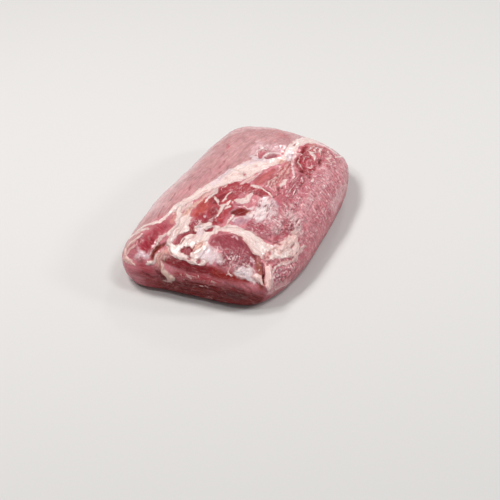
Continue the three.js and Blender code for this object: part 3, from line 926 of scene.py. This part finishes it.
# Folds get painted shade at the bottom, the darker the deeper they are.
DARKER_PER_MM, DARKEST = 0.62, 0.8
fold_shade = np.zeros(len(places))
for rise, softness, view, strokes in FOLDS:
    inside = ease(-softness, 0.6 * softness, reach(strokes, view)[0])
    lift += rise * inside
    if softness < 3:
        fold_shade = np.maximum(fold_shade, inside * np.clip(-DARKER_PER_MM * rise, 0, DARKEST))
places += facing * lift[:, None]
places[:, 2] = np.maximum(places[:, 2], 0)
meat.data.vertices.foreach_set("co", (places * MM).ravel())
meat.data.update()
# The windows get no painted shade.
fold_shade *= 1 - ease(0.2, 1, window)
# The painted shade in the folds: dark lean and dark fat laid over their colours.
FOLD_SHADE_LEAN = "#6a1312"
FOLD_SHADE_FAT = "#a8433a"
muscle_colour = paint(muscle_colour, FOLD_SHADE_LEAN, fold_shade)
fat_colour = paint(fat_colour, FOLD_SHADE_FAT, 0.9 * fold_shade)
# The splits at the corner muscle are browner.
BROWN = "#9a4630"
split = reach([[(-107, 38.7, 0.6), (-98, 38.5, 1), (-94, 36.5, 1), (-91, 33, 0.6)]])[0]
split = np.maximum(split, reach([[(39, 37, 0.8), (37.5, 33, 1), (38, 29, 0.8)]], "cut face")[0])
muscle_colour = paint(muscle_colour, BROWN, 0.7 * ease(-1.5, 1, split))

# A film of moisture covers the piece. It is thin in the splits and windows, on some smooth lean and on the
# cut face.
FILM = 0.8
THIN_FILM = [
    # thinning, side, strokes
    (0.8, "top", [[(-102, 44, 3), (-98, 50, 5), (-88, 48, 6), (-80, 42, 4)]]),
    (0.7, "top", [
        [(-84, -8, 4), (-80, -12, 5), (-75, -22, 5)],
        [(-25, -18, 3)],
        [(-59, 41, 3)],
        [(-95, 12, 3)],
    ]),
    (0.5, "top", [[(-98, -4, 4), (-96, -12, 5), (-97, -20, 3)], [(-92, -52, 2), (-82, -47.6, 3)]]),
    (0.35, "cut face", [[(54, 10, 14), (-50, 10, 14)]]),
]
THIN_IN_WINDOWS = 0.85
thinning = np.maximum(fold_shade, THIN_IN_WINDOWS * ease(-0.5, 0.8, window))
for most, view, strokes in THIN_FILM:
    thinning = np.maximum(thinning, most * ease(-2, 2, reach(strokes, view)[0]))


def keep(name, kind, values):
    """Keeps the values on the mesh under that name, for its material."""
    layer = meat.data.attributes.new(name, kind, "POINT")
    field = {"FLOAT": "value", "FLOAT_VECTOR": "vector", "FLOAT_COLOR": "color"}[kind]
    layer.data.foreach_set(field, np.ascontiguousarray(values, np.float32).ravel())


keep("muscle", "FLOAT_COLOR", np.c_[np.clip(muscle_colour, 0, 1), np.ones(len(places))])
keep("fat_colour", "FLOAT_COLOR", np.c_[fat_colour, np.ones(len(places))])
keep("grain", "FLOAT_VECTOR", grain * MM)
keep("strand", "FLOAT_VECTOR", np.c_[strand, np.zeros(len(places))] * MM)
keep("fat", "FLOAT", fat)
keep("marbling", "FLOAT", marbling)
keep("film", "FLOAT", FILM * (1 - thinning))

# Raw meat: wet lean muscle with cream fat. It is cut and moist, so light sinks in a little and the wet
# skin gives small sharp highlights.
raw_meat = bpy.data.materials.new("raw meat with fat")
raw_meat.use_nodes = True
tree = raw_meat.node_tree
tree.nodes.clear()
kept = {
    name: add_node(tree, "ShaderNodeAttribute", {"attribute_name": name}).outputs
    for name in ("muscle", "fat_colour", "grain", "strand", "fat", "marbling", "film")
}
around = {
    "grain": kept["grain"]["Vector"],
    "strand": kept["strand"]["Vector"],
    "place": add_node(tree, "ShaderNodeTexCoord").outputs["Object"],
}

# Each pattern is noise of a real size, drawn out along the fibres of lean or the threads of fat.
PATTERNS = {
    # name: what it follows, size along and across, detail, distortion
    "streaks": ("grain", 12, 1.4, 1.0, 0.0),
    "fibres": ("grain", 6, 0.8, 1.0, 0.0),
    "sheaths": ("grain", 16, 3.2, 1.0, 0.6),
    "wrinkles": ("grain", 8, 2.0, 1.0, 1.0),
    "swells": ("place", 4.2, 3.0, 0.0, 0.8),
    "threads": ("strand", 9, 1.2, 1.0, 0.3),
    "cords": ("strand", 9, 2.2, 0.0, 0.3),
    "veins": ("strand", 12, 3.2, 1.0, 1.2),
    "curls": ("place", 6, 6, 1.0, 2.0),
    "ridges": ("place", 5, 5, 1.0, 2.0),
    "crumbs": ("place", 2, 2, 1.0, 0.0),
    "pools": ("place", 4, 4, 1.0, 0.0),
}
pattern = {}
for name, (follows, along, across, detail, distortion) in PATTERNS.items():
    scale = (1 / (along * MM), 1 / (across * MM), 1 / (across * MM))
    drawn = add_node(tree, "ShaderNodeMapping", Vector=around[follows], Scale=scale).outputs[0]
    made = add_node(tree, "ShaderNodeTexNoise", Vector=drawn, Scale=1.0, Detail=detail, Distortion=distortion)
    pattern[name] = made.outputs["Fac"]
# These are thin lines, where the noise crosses its middle value.
for name in ("sheaths", "veins", "ridges"):
    middle = add_node(tree, "ShaderNodeMath", {"operation": "SUBTRACT"}, _0=pattern[name], _1=0.5)
    apart = add_node(tree, "ShaderNodeMath", {"operation": "ABSOLUTE"}, _0=middle.outputs[0])
    pattern[name] = apart.outputs[0]

# The ragged edge of the fat: its painted depth, shifted by threads and crumbs.
edge = kept["fat"]["Fac"]
for name, share in (("crumbs", 1.2), ("threads", 1.8), ("curls", 0.8)):
    centred = add_node(tree, "ShaderNodeMath", {"operation": "SUBTRACT"}, _0=pattern[name], _1=0.5).outputs[0]
    shifted = add_node(tree, "ShaderNodeMath", {"operation": "MULTIPLY_ADD"}, _0=centred, _1=share, _2=edge)
    edge = shifted.outputs[0]
pattern["edge"] = edge
pattern["marbling"] = kept["marbling"]["Fac"]

AMOUNTS = {
    # name: pattern, from low to high, amount at low and at high
    "streak shade": ("streaks", 0.35, 0.65, 0.9, 1.1),
    "fibre shade": ("fibres", 0.3, 0.7, 0.92, 1.06),
    "sheath": ("sheaths", 0.0, 0.03, 0.22, 0.0),
    "curly thread": ("ridges", 0.0, 0.03, 0.7, 0.0),
    "pale thread and glint": ("wrinkles", 0.53, 0.6, 0.0, 1.0),
    "fleck": ("curls", 0.42, 0.58, 0.1, 1.0),
    "dark gap and shade": ("wrinkles", 0.34, 0.44, 0.8, 0.0),
    "fat": ("edge", -0.4, 0.6, 0.0, 1.0),
    "thick fat": ("edge", -0.2, 2.6, 0.78, 0.97),
    "thread shade": ("threads", 0.35, 0.65, 0.88, 1.05),
    "vein": ("veins", 0.0, 0.035, 0.75, 0.0),
    "blood": ("crumbs", 0.66, 0.76, 0.0, 0.35),
    "crumb shade": ("crumbs", 0.3, 0.7, 0.95, 1.04),
    "wetness": ("pools", 0.35, 0.65, 0.2, 0.38),
}
amount = {}
for name, (which, low, high, at_low, at_high) in AMOUNTS.items():
    ramp = add_node(
        tree,
        "ShaderNodeMapRange",
        {"interpolation_type": "SMOOTHSTEP"},
        Value=pattern[which],
        From_Min=low,
        From_Max=high,
        To_Min=at_low,
        To_Max=at_high,
    )
    amount[name] = ramp.outputs[0]
for name, factors in {
    "marbled thread and glint": ("pale thread and glint", "fleck"),
    "marbled": ("marbled thread and glint", "marbling"),
    "curled": ("curly thread", "marbling"),
    "gaps and shade": ("dark gap and shade", "marbling"),
    "swell": ("swells", "marbling"),
    "cover": ("fat", "thick fat"),
    "cord": ("cords", "cover"),
}.items():
    one, other = (amount.get(factor) or pattern[factor] for factor in factors)
    amount[name] = add_node(tree, "ShaderNodeMath", {"operation": "MULTIPLY"}, _0=one, _1=other).outputs[0]

WHOLE = 1.0
lean = kept["muscle"]["Color"]
for how, share, over in (
    ("MULTIPLY", WHOLE, amount["streak shade"]),
    ("MULTIPLY", WHOLE, amount["fibre shade"]),
    ("MIX", amount["sheath"], (*rgb("#d7a0a0"), 1)),
    # dark lean in the wrinkles' gaps, partly painted shade
    ("MIX", amount["gaps and shade"], (*rgb("#86202c"), 1)),
    # white fat threads on the wrinkles' crests, partly painted glints
    ("MIX", amount["marbled"], (*rgb("#f7d4d4"), 1)),
    ("MIX", amount["curled"], (*rgb("#fbe0e0"), 1)),
):
    blend = {"data_type": "RGBA", "blend_type": how}
    lean = add_node(tree, "ShaderNodeMix", blend, _0=share, _6=lean, _7=over).outputs[2]
fatty = kept["fat_colour"]["Color"]
for how, share, over in (
    ("MULTIPLY", WHOLE, amount["thread shade"]),
    ("MULTIPLY", WHOLE, amount["crumb shade"]),
    ("MIX", amount["vein"], (*rgb("#cf9a92"), 1)),
    ("MIX", amount["blood"], (*rgb("#c07a74"), 1)),
):
    blend = {"data_type": "RGBA", "blend_type": how}
    fatty = add_node(tree, "ShaderNodeMix", blend, _0=share, _6=fatty, _7=over).outputs[2]
blend = {"data_type": "RGBA"}
colour = add_node(tree, "ShaderNodeMix", blend, _0=amount["cover"], _6=lean, _7=fatty).outputs[2]

# How far each pattern lifts the skin, in millimetres.
RISES = [
    (amount["marbled"], 0.4),
    (amount["swell"], 3.4),
    (pattern["swells"], 0.12),
    (amount["cord"], 0.5),
]
height = 0.0
for part, rise in RISES:
    raised = add_node(tree, "ShaderNodeMath", {"operation": "MULTIPLY_ADD"}, _0=part, _1=rise, _2=height)
    height = raised.outputs[0]
bump = add_node(tree, "ShaderNodeBump", Height=height, Strength=1.0, Distance=1.0 * MM).outputs[0]
shader = add_node(
    tree,
    "ShaderNodeBsdfPrincipled",
    Base_Color=colour,
    Roughness=amount["wetness"],
    IOR=1.4,
    Subsurface_Weight=0.06,
    Subsurface_Radius=(1.0, 0.35, 0.25),
    Subsurface_Scale=1.0 * MM,
    Specular_IOR_Level=0.0,
    Coat_Weight=kept["film"]["Fac"],
    Coat_Roughness=0.1,
    Normal=bump,
    Coat_Normal=bump,
)
add_node(tree, "ShaderNodeOutputMaterial", Surface=shader.outputs[0])
meat.data.materials.append(raw_meat)

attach(meat, "root")
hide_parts("steak")
